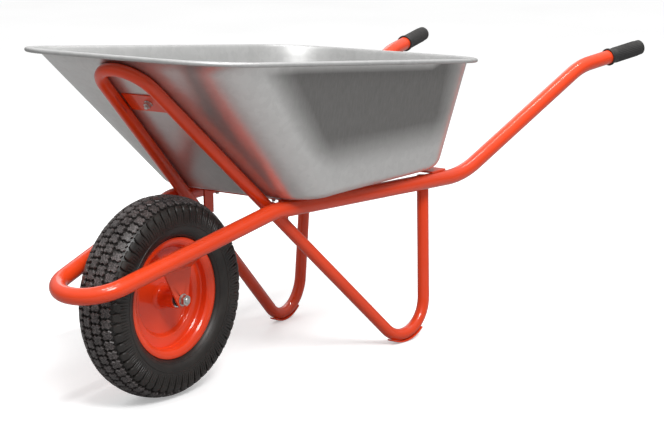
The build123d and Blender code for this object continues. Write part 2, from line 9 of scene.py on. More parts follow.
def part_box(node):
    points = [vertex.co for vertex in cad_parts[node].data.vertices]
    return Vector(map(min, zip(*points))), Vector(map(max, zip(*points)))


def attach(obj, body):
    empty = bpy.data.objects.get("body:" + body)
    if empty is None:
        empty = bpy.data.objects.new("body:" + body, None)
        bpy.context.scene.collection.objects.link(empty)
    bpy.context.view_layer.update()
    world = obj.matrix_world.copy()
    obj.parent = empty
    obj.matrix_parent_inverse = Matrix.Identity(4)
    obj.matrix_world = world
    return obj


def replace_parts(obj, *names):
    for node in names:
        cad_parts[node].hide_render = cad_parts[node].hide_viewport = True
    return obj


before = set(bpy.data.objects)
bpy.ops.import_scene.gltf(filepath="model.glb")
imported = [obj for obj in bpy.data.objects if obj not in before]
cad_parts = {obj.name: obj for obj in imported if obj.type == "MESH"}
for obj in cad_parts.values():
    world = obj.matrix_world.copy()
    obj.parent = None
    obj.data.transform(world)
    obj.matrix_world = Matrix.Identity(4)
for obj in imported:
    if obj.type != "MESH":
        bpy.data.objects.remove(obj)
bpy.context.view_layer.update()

# Wheelbarrow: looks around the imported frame. Metres. +X runs back to the handles, +Y is the
# user's right, +Z is up. Places are measured from the axle along X, and from the ground up.
scene = bpy.context.scene
scene.view_settings.view_transform = "Standard"
draw = random.Random(7)

axle_low, axle_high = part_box("axle_nut")
AXLE = Vector(((axle_low.x + axle_high.x) / 2, 0, (axle_low.z + axle_high.z) / 2))


def place(x, y, z):
    return Vector((AXLE.x + x, y, z))


# ---------------------------------------------------------------- driving sizes
MAIN_TUBE_RADIUS = 0.016
LEG_TUBE_RADIUS = 0.0125
TUBE_WALL = 0.0015
GRIP_END = place(1.3400, 0.3060, 0.5590)
HANDLE_UPPER_BEND = place(1.1289, 0.2663, 0.5334)
HANDLE_LOWER_BEND = place(0.7471, 0.1946, 0.3352)
RAIL_BEND = place(0.1813, 0.1332, 0.3441)
BUMPER_CORNER = place(-0.2413, 0.0633, 0.2457)
MAIN_BENDS = [0.181, 0.194, 0.175, 0.072]
LEG_TOP = place(0.6564, 0.1556, 0.3450)
FOOT_CORNER = place(0.6331, 0.1732, -0.0720)
BRACE_CORNER = place(-0.1078, 0.0550, 0.6400)
LEG_BENDS = [0.0722, 0.059]

GRIP_LENGTH = 0.118
GRIP_RADIUS = 0.018
GRIP_LIP_RADIUS = 0.020
GRIP_END_WALL = 0.0045

SHEET = 0.001
FLOOR_Z = 0.362
FLOOR_FRONT, FLOOR_REAR, FLOOR_HALF = 0.2015, 0.697, 0.208
FLOOR_CORNERS = (0.087, 0.093)
MOUTH_FRONT, MOUTH_REAR = -0.120, 0.754
MOUTH_HALVES = (0.259, 0.263)
MOUTH_CORNERS = (0.120, 0.124)
MOUTH_FRONT_Z, MOUTH_REAR_Z = 0.670, 0.590
FLOOR_EDGE_RADIUS = 0.033


# ---------------------------------------------------------------- mesh helpers
def new_piece(name, vertices, faces, material, body, crease=40):
    """A mesh that rides on a body, smooth except where it turns sharply."""
    mesh = bpy.data.meshes.new(name)
    mesh.from_pydata([tuple(v) for v in vertices], [], faces)
    form = bmesh.new()
    form.from_mesh(mesh)
    bmesh.ops.recalc_face_normals(form, faces=form.faces)
    form.to_mesh(mesh)
    form.free()
    mesh.materials.append(material)
    for face in mesh.polygons:
        face.use_smooth = True
    mesh.set_sharp_from_angle(angle=radians(crease))
    piece = bpy.data.objects.new(name, mesh)
    scene.collection.objects.link(piece)
    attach(piece, body)
    return piece


class Build:
    """Gathers the points and faces of one mesh."""

    def __init__(self):
        self.points = []
        self.faces = []

    def add(self, points, faces):
        start = len(self.points)
        self.points += points
        self.faces += [tuple(start + i for i in face) for face in faces]

    def rings(self, rings, closed=False):
        """Skins equal rings of points; closed joins the last ring to the first."""
        count = len(rings[0])
        points = [p for ring in rings for p in ring]
        faces = []
        pairs = len(rings) if closed else len(rings) - 1
        for i in range(pairs):
            here, there = i * count, (i + 1) % len(rings) * count
            for j in range(count):
                k = (j + 1) % count
                faces.append((here + j, here + k, there + k, there + j))
        self.add(points, faces)

    def fan(self, centre, ring):
        count = len(ring)
        self.add([centre] + ring, [(0, 1 + i, 1 + (i + 1) % count) for i in range(count)])

    def piece(self, name, material, slot, body, crease=40):
        return new_piece(name, self.points, self.faces, material, body, crease)


def rounded(points, radii, steps=14):
    """An open run of points with an arc at each inner corner."""
    run = [Vector(points[0])]
    for before, corner, after, radius in zip(points, points[1:], points[2:], radii):
        corner = Vector(corner)
        back = (Vector(before) - corner).normalized()
        ahead = (Vector(after) - corner).normalized()
        half = back.angle(ahead) / 2
        reach = radius / tan(half)
        inward = (back + ahead).normalized()
        centre = corner + inward * (radius / sin(half))
        start = corner + back * reach - centre
        end = corner + ahead * reach - centre
        sweep = start.angle(end)
        for i in range(steps + 1):
            share = i / steps
            arm = start * sin((1 - share) * sweep) + end * sin(share * sweep)
            run.append(centre + arm / sin(sweep))
    run.append(Vector(points[-1]))
    return run


def flowing(points, steps=6):
    """A smooth curve through all the points."""
    vectors = [Vector(p) for p in points]
    padded = [vectors[0] * 2 - vectors[1]] + vectors + [vectors[-1] * 2 - vectors[-2]]
    run = []
    for a, b, c, d in zip(padded, padded[1:], padded[2:], padded[3:]):
        for i in range(steps):
            t = i / steps
            bend = a * (-t + 2 * t * t - t ** 3) + b * (2 - 5 * t * t + 3 * t ** 3)
            bend += c * (t + 4 * t * t - 3 * t ** 3) + d * (t ** 3 - t * t)
            run.append(bend / 2)
    run.append(vectors[-1])
    return run


def across_pair(direction):
    """Two directions at right angles to one another and to this one."""
    helper = Vector((0, 0, 1)) if abs(direction.z) < 0.8 else Vector((1, 0, 0))
    first = direction.cross(helper).normalized()
    return first, direction.cross(first).normalized()


def tube_rings(path, radii, around=40):
    """Rings along a path, carried along without twisting."""
    rings = []
    first = None
    for i, here in enumerate(path):
        ahead = path[min(i + 1, len(path) - 1)] - path[max(i - 1, 0)]
        ahead.normalize()
        if first is None:
            first, second = across_pair(ahead)
        first = (first - ahead * first.dot(ahead)).normalized()
        second = ahead.cross(first)
        radius = radii[i] if isinstance(radii, list) else radii
        ring = []
        for j in range(around):
            turn = 2 * pi * j / around
            ring.append(here + (first * cos(turn) + second * sin(turn)) * radius)
        rings.append(ring)
    return rings


def spun(origin, axis, profile, around=48):
    """Rings made by turning (radius, distance along the axis) points."""
    first, second = across_pair(axis)
    rings = []
    for radius, along in profile:
        ring = []
        for j in range(around):
            turn = 2 * pi * j / around
            ring.append(origin + axis * along + (first * cos(turn) + second * sin(turn)) * radius)
        rings.append(ring)
    return rings


def left_of(points):
    return [Vector((p.x, -p.y, p.z)) for p in points]


def mirrored_path(half):
    """A path from the user's right, continued by its mirror image."""
    return half + left_of(half)[::-1]


# ---------------------------------------------------------------- shader groups
class Nodes:
    """Short hand for adding and joining shader nodes."""

    def __init__(self, tree):
        self.tree = tree

    def fill(self, made, values):
        """Sets each input of a node, or joins it where the value is another node's output."""
        for key, value in values.items():
            if isinstance(value, bpy.types.NodeSocket):
                self.tree.links.new(value, made.inputs[key])
            else:
                made.inputs[key].default_value = value
        return made

    def node(self, kind, values=None, **settings):
        made = self.tree.nodes.new(kind)
        for key, value in settings.items():
            setattr(made, key, value)
        return self.fill(made, values or {})

    def math(self, operation, first, second, clamp=False):
        values = {0: first, 1: second}
        return self.node("ShaderNodeMath", values, operation=operation, use_clamp=clamp).outputs[0]

    def span(self, value, low, high, to_low=0.0, to_high=1.0):
        values = {"Value": value, "From Min": low, "From Max": high, "To Min": to_low, "To Max": to_high}
        return self.node("ShaderNodeMapRange", values, clamp=True).outputs["Result"]

    def noise(self, vector, scale, detail=3.0, roughness=0.5):
        values = {"Vector": vector, "Scale": scale, "Detail": detail, "Roughness": roughness}
        return self.node("ShaderNodeTexNoise", values).outputs["Fac"]

    def blend(self, share, first, second, mode="MIX"):
        made = self.tree.nodes.new("ShaderNodeMix")
        made.data_type = "RGBA"
        made.blend_type = mode
        return self.fill(made, {0: share, 6: first, 7: second}).outputs[2]


def group(name, inputs, outputs):
    """An empty shader group with named sockets, and its helper, input and output."""
    tree = bpy.data.node_groups.new(name, "ShaderNodeTree")
    for socket, kind, value in inputs:
        made = tree.interface.new_socket(name=socket, in_out="INPUT", socket_type=kind)
        made.default_value = value
    for socket, kind in outputs:
        tree.interface.new_socket(name=socket, in_out="OUTPUT", socket_type=kind)
    nodes = Nodes(tree)
    inside = nodes.node("NodeGroupInput").outputs
    outside = nodes.node("NodeGroupOutput").inputs
    return tree, nodes, inside, outside


NUMBER, COLOUR, DIRECTION = "NodeSocketFloat", "NodeSocketColor", "NodeSocketVector"


def gloss_coat_group():
    """Sprayed powder coat: a slow drift of tone, orange peel and fine dull specks."""
    sockets = [("Colour", COLOUR, (1, 1, 1, 1)), ("Drift", NUMBER, 0.1), ("Gloss Roughness", NUMBER, 0.2)]
    tree, n, inside, outside = group("powder_coat", sockets, [
        ("Colour", COLOUR), ("Roughness", NUMBER), ("Height", NUMBER)])
    spot = n.node("ShaderNodeTexCoord").outputs["Object"]
    slow = n.noise(spot, 6.0, 4.0)
    peel = n.noise(spot, 420.0, 2.0)
    specks = n.span(n.noise(spot, 160.0, 5.0, 0.7), 0.60, 0.72)
    shade = n.math("MULTIPLY", n.span(slow, 0.35, 0.7), inside["Drift"])
    deeper = n.blend(1.0, inside["Colour"], (0.62, 0.45, 0.40, 1), "MULTIPLY")
    tone = n.blend(shade, inside["Colour"], deeper)
    dull = n.math("MULTIPLY", specks, 0.10)
    rough = n.math("ADD", inside["Gloss Roughness"], n.math("MULTIPLY", slow, 0.06))
    n.tree.links.new(tone, outside["Colour"])
    n.tree.links.new(n.math("ADD", rough, dull), outside["Roughness"])
    n.tree.links.new(peel, outside["Height"])
    return tree


def dust_group():
    """Dust that lies on what faces up, in patches."""
    sockets = [("Amount", NUMBER, 0.3), ("Scale", NUMBER, 40.0)]
    tree, n, inside, outside = group("settled_dust", sockets, [("Mask", NUMBER)])
    spot = n.node("ShaderNodeTexCoord").outputs["Object"]
    facing = n.node("ShaderNodeSeparateXYZ", {"Vector": n.node("ShaderNodeNewGeometry").outputs["Normal"]})
    up = n.span(facing.outputs["Z"], 0.1, 0.95)
    patch = n.span(n.noise(spot, inside["Scale"], 5.0, 0.65), 0.42, 0.68)
    n.tree.links.new(n.math("MULTIPLY", n.math("MULTIPLY", up, patch), inside["Amount"]), outside["Mask"])
    return tree


def streak_group():
    """Fine parallel marks from rolling, drawing or grinding; Stretch sets which way they run."""
    sockets = [("Stretch", DIRECTION, (1, 1, 1)), ("Scale", NUMBER, 200.0)]
    tree, n, inside, outside = group("drawn_marks", sockets, [("Marks", NUMBER), ("Broad Marks", NUMBER)])
    spot = n.node("ShaderNodeTexCoord").outputs["Object"]
    along = n.node("ShaderNodeVectorMath", {0: spot, 1: inside["Stretch"]}, operation="MULTIPLY").outputs[0]
    n.tree.links.new(n.noise(along, inside["Scale"], 4.0, 0.6), outside["Marks"])
    broad = n.noise(along, n.math("MULTIPLY", inside["Scale"], 0.16), 3.0)
    n.tree.links.new(broad, outside["Broad Marks"])
    return tree


def spangle_group():
    """Zinc crystals: faint flat patches with their own tone."""
    sockets = [("Scale", NUMBER, 80.0)]
    tree, n, inside, outside = group("zinc_spangle", sockets, [("Tone", NUMBER), ("Roughness Shift", NUMBER)])
    spot = n.node("ShaderNodeTexCoord").outputs["Object"]
    shifted = n.node("ShaderNodeVectorMath", {0: spot, 1: (0.01, 0.01, 0.01)}, operation="ADD").outputs[0]
    cells = n.node("ShaderNodeTexVoronoi", {"Vector": shifted, "Scale": inside["Scale"]}).outputs["Color"]
    parts = n.node("ShaderNodeSeparateColor", {"Color": cells})
    n.tree.links.new(n.span(parts.outputs[0], 0.0, 1.0), outside["Tone"])
    shift = n.math("MULTIPLY", n.math("SUBTRACT", parts.outputs[1], 0.5), 0.03)
    n.tree.links.new(shift, outside["Roughness Shift"])
    return tree


def grain_group():
    """The fine pebbled skin of moulded rubber and plastic."""
    sockets = [("Scale", NUMBER, 900.0)]
    tree, n, inside, outside = group("moulded_grain", sockets, [("Height", NUMBER), ("Patches", NUMBER)])
    spot = n.node("ShaderNodeTexCoord").outputs["Object"]
    n.tree.links.new(n.noise(spot, inside["Scale"], 3.0, 0.6), outside["Height"])
    n.tree.links.new(n.noise(spot, 22.0, 5.0, 0.6), outside["Patches"])
    return tree


POWDER_COAT = gloss_coat_group()
SETTLED_DUST = dust_group()
DRAWN_MARKS = streak_group()
ZINC_SPANGLE = spangle_group()
MOULDED_GRAIN = grain_group()


# ---------------------------------------------------------------- finishes
class Finish(Nodes):
    """A material with one Principled shader."""

    def __init__(self, name, **fixed):
        self.material = bpy.data.materials.new(name)
        self.material.use_nodes = True
        super().__init__(self.material.node_tree)
        self.shader = self.tree.nodes["Principled BSDF"]
        for socket, value in fixed.items():
            self.shader.inputs[socket.replace("_", " ")].default_value = value

    def use(self, tree, values):
        made = self.node("ShaderNodeGroup", node_tree=tree)
        return self.fill(made, values).outputs

    def feed(self, socket, value):
        self.tree.links.new(value, self.shader.inputs[socket])

    def bump(self, height, strength, distance):
        made = self.node("ShaderNodeBump", {"Height": height, "Strength": strength, "Distance": distance})
        self.feed("Normal", made.outputs["Normal"])


DUST_COLOUR = (0.42, 0.37, 0.31, 1)
WORN_BLACK = (0.03, 0.03, 0.03, 1)
DARKER_ZINC = 0.72


def coated(name, colour, drift, gloss, dust, peel):
    finish = Finish(name, Metallic=0.0, Coat_Weight=0.60, Coat_Roughness=0.03, Specular_IOR_Level=0.22)
    coat = finish.use(POWDER_COAT, {"Colour": colour, "Drift": drift, "Gloss Roughness": gloss})
    mask = finish.use(SETTLED_DUST, {"Amount": dust, "Scale": 60.0})["Mask"]
    finish.feed("Base Color", finish.blend(mask, coat["Colour"], DUST_COLOUR))
    finish.feed("Roughness", finish.math("ADD", coat["Roughness"], finish.math("MULTIPLY", mask, 0.5)))
    finish.bump(coat["Height"], peel, 0.0003)
    return finish.material


def frame_paint():
    return coated("frame_paint", (0.82, 0.058, 0.009, 1), 0.24, 0.26, 0.03, 0.08)


def rim_paint():
    return coated("rim_paint", (0.86, 0.056, 0.009, 1), 0.20, 0.26, 0.03, 0.06)


def weld_paint():
    """The same coat where it has run over a weld: deeper in tone and duller."""
    return coated("weld_paint", (0.64, 0.042, 0.008, 1), 0.50, 0.32, 0.10, 0.60)


def galvanised_sheet():
    """Bright drawn sheet. The flat side panels carry a darker streaked colour: a painted reflection of a
    darker surround.
    """
    finish = Finish("galvanised_sheet", Metallic=0.86, Coat_Weight=0.10, Coat_Roughness=0.2)
    marks = finish.use(DRAWN_MARKS, {"Stretch": (1.0, 1.0, 0.045), "Scale": 260.0})
    zinc = finish.use(ZINC_SPANGLE, {"Scale": 95.0})
    panel = finish.node("ShaderNodeAttribute", attribute_name="side_panel_painted_reflection").outputs["Fac"]
    painted_reflection_edge = finish.span(panel, 0.05, 0.95)
    bright = finish.blend(zinc["Tone"], (0.66, 0.655, 0.645, 1), (0.70, 0.695, 0.685, 1))
    streaks = finish.span(marks["Marks"], 0.3, 0.7)
    # Dark streaked colour for the side panels: painted reflection, with real drawn streaks in it.
    streaked_painted_reflection = finish.blend(streaks, (0.205, 0.200, 0.194, 1), (0.245, 0.240, 0.233, 1))
    tone = finish.blend(painted_reflection_edge, bright, streaked_painted_reflection)
    mask = finish.use(SETTLED_DUST, {"Amount": 0.05, "Scale": 30.0})["Mask"]
    finish.feed("Base Color", finish.blend(mask, tone, DUST_COLOUR))
    dullness = finish.span(painted_reflection_edge, 0.0, 1.0, 0.33, 0.38)
    finish.feed("Roughness", finish.math("ADD", dullness, zinc["Roughness Shift"], clamp=True))
    height = finish.math("ADD", finish.math("MULTIPLY", marks["Marks"], 0.6), marks["Broad Marks"])
    finish.bump(height, 0.03, 0.0004)
    return finish.material


def sheet_inside():
    """The inner face of the pan: the same zinc, duller and paler where loads have rubbed it."""
    finish = Finish("sheet_inside", Metallic=0.45)
    marks = finish.use(DRAWN_MARKS, {"Stretch": (1.0, 1.0, 0.2), "Scale": 180.0})
    zinc = finish.use(ZINC_SPANGLE, {"Scale": 95.0})
    tone = finish.blend(zinc["Tone"], (0.44, 0.44, 0.436, 1), (0.48, 0.48, 0.474, 1))
    rubbed = finish.math("MULTIPLY", finish.span(marks["Broad Marks"], 0.55, 0.75), 0.35)
    finish.feed("Base Color", finish.blend(rubbed, tone, (0.38, 0.378, 0.372, 1)))
    dullness = finish.span(marks["Marks"], 0.3, 0.7, 0.42, 0.50)
    finish.feed("Roughness", finish.math("ADD", dullness, zinc["Roughness Shift"]))
    finish.bump(marks["Marks"], 0.04, 0.0004)
    return finish.material


def bright_metal(name, colour, stretch, roughness, strength):
    finish = Finish(name, Metallic=1.0)
    marks = finish.use(DRAWN_MARKS, {"Stretch": stretch, "Scale": 900.0})
    zinc = finish.use(ZINC_SPANGLE, {"Scale": 260.0})
    darker = tuple(DARKER_ZINC * c for c in colour[:3]) + (1,)
    tone = finish.blend(finish.math("MULTIPLY", zinc["Tone"], 0.5), colour, darker)
    grime = finish.use(SETTLED_DUST, {"Amount": 0.25, "Scale": 150.0})["Mask"]
    finish.feed("Base Color", finish.blend(grime, tone, DUST_COLOUR))
    finish.feed("Roughness", finish.span(marks["Marks"], 0.3, 0.7, roughness, roughness + 0.15))
    finish.bump(marks["Marks"], strength, 0.0002)
    return finish.material


def zinc_plate():
    return bright_metal("zinc_plate", (0.66, 0.66, 0.64, 1), (1, 1, 1), 0.26, 0.15)


def bearing_steel():
    return bright_metal("bearing_steel", (0.62, 0.62, 0.63, 1), (0.2, 1, 0.2), 0.14, 0.05)


def moulded(name, colour, worn, grain, roughness, strength, dust):
    return moulded_skin(name, colour, worn, grain, roughness, strength, dust)[0].material


def moulded_skin(name, colour, worn, grain, roughness, strength, dust):
    """A moulded finish and its colour, so that more can be laid over it."""
    finish = Finish(name, Metallic=0.0, Specular_IOR_Level=0.45)
    skin = finish.use(MOULDED_GRAIN, {"Scale": grain})
    tone = finish.blend(finish.span(skin["Patches"], 0.35, 0.7), colour, worn)
    mask = finish.use(SETTLED_DUST, {"Amount": dust, "Scale": 70.0})["Mask"]
    dusty = finish.blend(mask, tone, DUST_COLOUR)
    finish.feed("Base Color", dusty)
    finish.feed("Roughness", finish.span(skin["Patches"], 0.3, 0.7, roughness - 0.06, roughness + 0.10))
    finish.bump(skin["Height"], strength, 0.0004)
    return finish, dusty, skin["Patches"]


def tyre_rubber():
    """Black rubber, lighter grey on the tops of the tread blocks: partly scuffing, partly a painted
    highlight.
    """
    finish, dusty, patches = moulded_skin(
        "tyre_rubber", (0.014, 0.012, 0.011, 1), (0.026, 0.022, 0.019, 1), 1100.0, 0.38, 0.30, 0.03)
    tops = finish.node("ShaderNodeAttribute", attribute_name="tread_top").outputs["Fac"]
    speckle = finish.noise(finish.node("ShaderNodeTexCoord").outputs["Object"], 420.0, 3.0, 0.7)
    worn_patches = finish.span(patches, 0.3, 0.65, 0.40, 0.90)
    scuffs = finish.math("MULTIPLY", finish.span(speckle, 0.42, 0.60), worn_patches)
    scuff_and_painted_highlight = finish.math("MULTIPLY", tops, scuffs)
    # Grey block tops: partly scuffed rubber, partly painted highlight.
    finish.feed("Base Color", finish.blend(scuff_and_painted_highlight, dusty, (0.190, 0.165, 0.165, 1)))
    return finish.material


def tube_rubber():
    return moulded("tube_rubber", (0.016, 0.016, 0.017, 1), WORN_BLACK, 1500.0, 0.42, 0.15, 0.05)


def grip_rubber():
    worn = (0.030, 0.029, 0.028, 1)
    return moulded("grip_rubber", (0.019, 0.018, 0.018, 1), worn, 1300.0, 0.50, 0.35, 0.05)


def cap_plastic():
    return moulded("cap_plastic", (0.018, 0.018, 0.019, 1), WORN_BLACK, 1800.0, 0.38, 0.10, 0.05)


FINISH = {make.__name__: make() for make in (
    frame_paint, rim_paint, weld_paint, galvanised_sheet, sheet_inside, zinc_plate, bearing_steel,
    tyre_rubber, tube_rubber, grip_rubber, cap_plastic)}


# ---------------------------------------------------------------- frame tubes
def main_tube_line():
    half = [GRIP_END, HANDLE_UPPER_BEND, HANDLE_LOWER_BEND, RAIL_BEND, BUMPER_CORNER]
    inside_grip = GRIP_END + (HANDLE_UPPER_BEND - GRIP_END).normalized() * GRIP_END_WALL
    half[0] = inside_grip
    return rounded(mirrored_path(half), MAIN_BENDS + MAIN_BENDS[::-1], 20)


def leg_tube_line():
    half = [LEG_TOP, FOOT_CORNER, BRACE_CORNER]
    return rounded(mirrored_path(half), LEG_BENDS + LEG_BENDS[::-1], 20)


def bent_tube(name, line, radius):
    """A tube with its wall, open at both ends."""
    build = Build()
    outside = tube_rings(line, radius)
    inside = tube_rings(line, radius - TUBE_WALL)
    build.rings(outside + inside[::-1], closed=True)
    piece = build.piece(name, FINISH["frame_paint"], "frame_paint", "chassis")
    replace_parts(piece, name)
    return piece


RIPPLE = 0.0011
CROSSING_BEAD, TAB_BEAD, END_BEAD, PLATE_BEAD, BRACKET_BEAD = 0.0032, 0.0024, 0.0022, 0.0022, 0.0030


def weld_bead(build, run, radius):
    """A weld laid in overlapping ripples along a run of points."""
    length = sum((b - a).length for a, b in zip(run, run[1:]))
    ripples = max(6, int(length / RIPPLE))
    points = []
    radii = []
    for i in range(ripples + 1):
        share = i / ripples * (len(run) - 1)
        k = min(int(share), len(run) - 2)
        points.append(run[k].lerp(run[k + 1], share - k))
        taper = min(1.0, 3.5 * min(i, ripples - i) / ripples + 0.35)
        radii.append(radius * taper * (0.86 + 0.14 * (i % 2) + draw.uniform(-0.05, 0.05)))
    rings = tube_rings(points, radii, 12)
    build.rings(rings)
    build.fan(points[0], rings[0])
    build.fan(points[-1], rings[-1])


def nearest_on(line, target):
    return min(line, key=lambda p: (p - target).length)


def dense(line, step=0.004):
    run = []
    for a, b in zip(line, line[1:]):
        pieces = max(1, int((b - a).length / step))
        run += [a.lerp(b, i / pieces) for i in range(pieces)]
    return run + [line[-1]]


def crossing_welds(build, main_line, leg_line):
    """Beads above and below where each brace passes inside its rail, and at each leg's top."""
    rails = dense(main_line)
    legs = dense(leg_line)
    for side in (1, -1):
        near = [p for p in legs if p.y * side > 0 and 0.08 < p.x - AXLE.x < 0.32 and 0.29 < p.z < 0.41]
        leg = min(near, key=lambda p: (nearest_on(rails, p) - p).length)
        lay_side_weld(build, leg, nearest_on(rails, leg), (FOOT_CORNER - BRACE_CORNER), side)
        top = Vector((LEG_TOP.x - 0.002, LEG_TOP.y * side, LEG_TOP.z - 0.016))
        lay_side_weld(build, top, nearest_on(rails, top), Vector((0, 0, 1)), side)


def lay_side_weld(build, leg, rail, leg_way, side):
    """Two short beads in the grooves on each side of the line between two touching tubes."""
    between = (rail - leg).normalized()
    touch = leg + between * LEG_TUBE_RADIUS
    along = Vector((leg_way.x, leg_way.y * side, leg_way.z)).normalized()
    along = (along - between * along.dot(between)).normalized()
    beside = between.cross(along)
    for way in (1, -1):
        run = []
        for i in range(9):
            slide = (i - 4) / 4
            spot = touch + along * (0.013 * slide) + beside * (way * (0.0075 + 0.002 * (1 - slide * slide)))
            run.append(spot - between * 0.001)
        weld_bead(build, run, CROSSING_BEAD)


def strap_welds(build, leg_line):
    """Beads where the front channel's tabs meet the braces, and where its ends meet the rails."""
    low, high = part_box("front_cross_member")
    legs = dense(leg_line, 0.002)
    channel_foot = high.z - 0.009
    for side in (1, -1):
        arm = [p for p in legs if p.y * side > 0 and low.x < p.x < high.x and p.z < channel_foot]
        beside_tab = Vector((0, -side * LEG_TUBE_RADIUS * 0.86, LEG_TUBE_RADIUS * 0.62))
        weld_bead(build, [p + beside_tab for p in sorted(arm, key=lambda p: p.x)], TAB_BEAD)
        rail_side = side * (high.y - 0.0025)
        for x in (low.x, high.x):
            ends = [Vector((x, rail_side, z)) for z in (channel_foot, high.z - 0.002)]
            weld_bead(build, ends, END_BEAD)


def plate_welds(build, leg_line):
    """Beads down both edges of the brace plate."""
    low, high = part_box("brace_plate")
    legs = [p for p in dense(leg_line, 0.002) if low.z - 0.004 < p.z < high.z + 0.004 and p.x < AXLE.x + 0.1]
    for side in (1, -1):
        arm = sorted((p for p in legs if p.y * side > 0), key=lambda p: p.z)
        inward = Vector((-0.002, -side * LEG_TUBE_RADIUS * 0.88, -0.004))
        weld_bead(build, [p + inward for p in arm[2:-2]], PLATE_BEAD)


def bracket_welds(build, main_line):
    """Beads along the rail where the axle brackets hang from it."""
    low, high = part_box("right_axle_bracket")
    for side in (1, -1):
        rail = [p for p in dense(main_line, 0.006) if p.y * side > 0 and low.x <= p.x <= high.x and p.z < 0.4]
        under = Vector((0, -side * MAIN_TUBE_RADIUS * 0.72, -MAIN_TUBE_RADIUS * 0.78))
        weld_bead(build, [p + under for p in sorted(rail, key=lambda p: p.x)], BRACKET_BEAD)


def frame_tubes():
    main_line = main_tube_line()
    leg_line = leg_tube_line()
    bent_tube("main_tube", main_line, MAIN_TUBE_RADIUS)
    bent_tube("leg_tube", leg_line, LEG_TUBE_RADIUS)
    build = Build()
    crossing_welds(build, main_line, leg_line)
    strap_welds(build, leg_line)
    plate_welds(build, leg_line)
    bracket_welds(build, main_line)
    build.piece("weld_beads", FINISH["weld_paint"], "frame_paint", "chassis", 80)


# ---------------------------------------------------------------- grips
RIB_COUNT = 30
RIB_HEIGHT = 0.0008
GRIP_GROOVE = 0.0006
LIP_EASE = 0.0008


def grip_stations():
    """(distance from the closed end, radius, share of rib) down the sleeve and back up its bore."""
    plain = GRIP_RADIUS - RIB_HEIGHT
    groove = plain - GRIP_GROOVE
    eased_lip = GRIP_LIP_RADIUS - LIP_EASE
    bore = MAIN_TUBE_RADIUS + 0.0002
    closed_end = [(0.0, 0.0005, 0), (0.0002, 0.006, 0), (0.0009, 0.0115, 0), (0.0022, 0.0148, 0)]
    closed_end.append((GRIP_END_WALL, plain, 0))
    groove_round = [(0.0095, plain, 0), (0.0100, groove, 0), (0.0108, groove, 0), (0.0113, plain, 0)]
    ribs = [
        (0.0150, plain, 0), (0.0165, plain, 0.4), (0.0185, plain, 1), (0.0550, plain, 1), (0.0950, plain, 1),
        (0.0970, plain, 0.4), (0.0985, plain, 0), (0.1060, plain, 0),
    ]
    lip = [
        (0.1095, plain + 0.0006, 0), (0.1125, eased_lip, 0), (0.1140, GRIP_LIP_RADIUS, 0),
        (0.1170, GRIP_LIP_RADIUS, 0), (GRIP_LENGTH, eased_lip, 0),
    ]
    hollow = [(GRIP_LENGTH, bore, 0), (GRIP_END_WALL, bore, 0), (GRIP_END_WALL, 0.0005, 0)]
    return closed_end + groove_round + ribs + lip + hollow


def grip(side):
    """A moulded sleeve: closed rounded end, lengthwise ribs, plain bands and a flared lip."""
    end = Vector((GRIP_END.x, GRIP_END.y * side, GRIP_END.z))
    bend = Vector((HANDLE_UPPER_BEND.x, HANDLE_UPPER_BEND.y * side, HANDLE_UPPER_BEND.z))
    axis = (bend - end).normalized()
    first, second = across_pair(axis)
    around = RIB_COUNT * 8
    rings = []
    for along, radius, ribbed in grip_stations():
        ring = []
        for j in range(around):
            turn = 2 * pi * j / around
            rib = max(0.0, cos(RIB_COUNT * turn)) ** 0.6
            reach = radius + RIB_HEIGHT * ribbed * rib
            ring.append(end + axis * along + (first * cos(turn) + second * sin(turn)) * reach)
        rings.append(ring)
    build = Build()
    build.rings(rings)
    build.add(rings[0], [tuple(range(around))])
    build.add(rings[-1], [tuple(range(around))])
    name = ("right" if side > 0 else "left") + "_grip"
    piece = build.piece(name, FINISH["grip_rubber"], "grip_rubber", "chassis", 50)
    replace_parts(piece, name)


# ---------------------------------------------------------------- tray
MOUTH_SLOPE = (MOUTH_REAR_Z - MOUTH_FRONT_Z) / (MOUTH_REAR - MOUTH_FRONT)


def corner_outline(front, rear, halves, corners, around_corner=18, along=14):
    """A rounded outline as (x, y, outward x, outward y) stations, anticlockwise."""
    centres = [
        (rear - corners[1], halves[1] - corners[1], corners[1], 0.0),
        (front + corners[0], halves[0] - corners[0], corners[0], 0.5 * pi),
        (front + corners[0], -(halves[0] - corners[0]), corners[0], pi),
        (rear - corners[1], -(halves[1] - corners[1]), corners[1], 1.5 * pi),
    ]
    arcs = []
    for x, y, radius, start in centres:
        arc = []
        for i in range(around_corner + 1):
            turn = start + 0.5 * pi * i / around_corner
            arc.append((x + radius * cos(turn), y + radius * sin(turn), cos(turn), sin(turn)))
        arcs.append(arc)
    run = []
    for k, arc in enumerate(arcs):
        run += arc
        after = arcs[(k + 1) % 4][0]
        for i in range(1, along):
            share = i / along
            run.append(tuple(a + (b - a) * share for a, b in zip(arc[-1], after)))
    return run


def mouth_z(x):
    return MOUTH_FRONT_Z + MOUTH_SLOPE * (x - MOUTH_FRONT)


ROLL_CENTRE = 0.0168
ROLL_RADIUS = 0.0037


def lip_section():
    """The rolled edge as (outwards, up): a small radius, a flat flange, then the roll."""
    flat = -SHEET / 2
    section = [(0.0, -0.006), (0.0004, -0.0035), (0.0016, -0.0014), (0.0036, flat)]
    section += [(0.0080, flat), (0.0125, flat)]
    for i in range(1, 15):
        turn = radians(90 - i * 22)
        out = ROLL_CENTRE + ROLL_RADIUS * cos(turn)
        section.append((out, flat - ROLL_RADIUS + ROLL_RADIUS * sin(turn)))
    return section


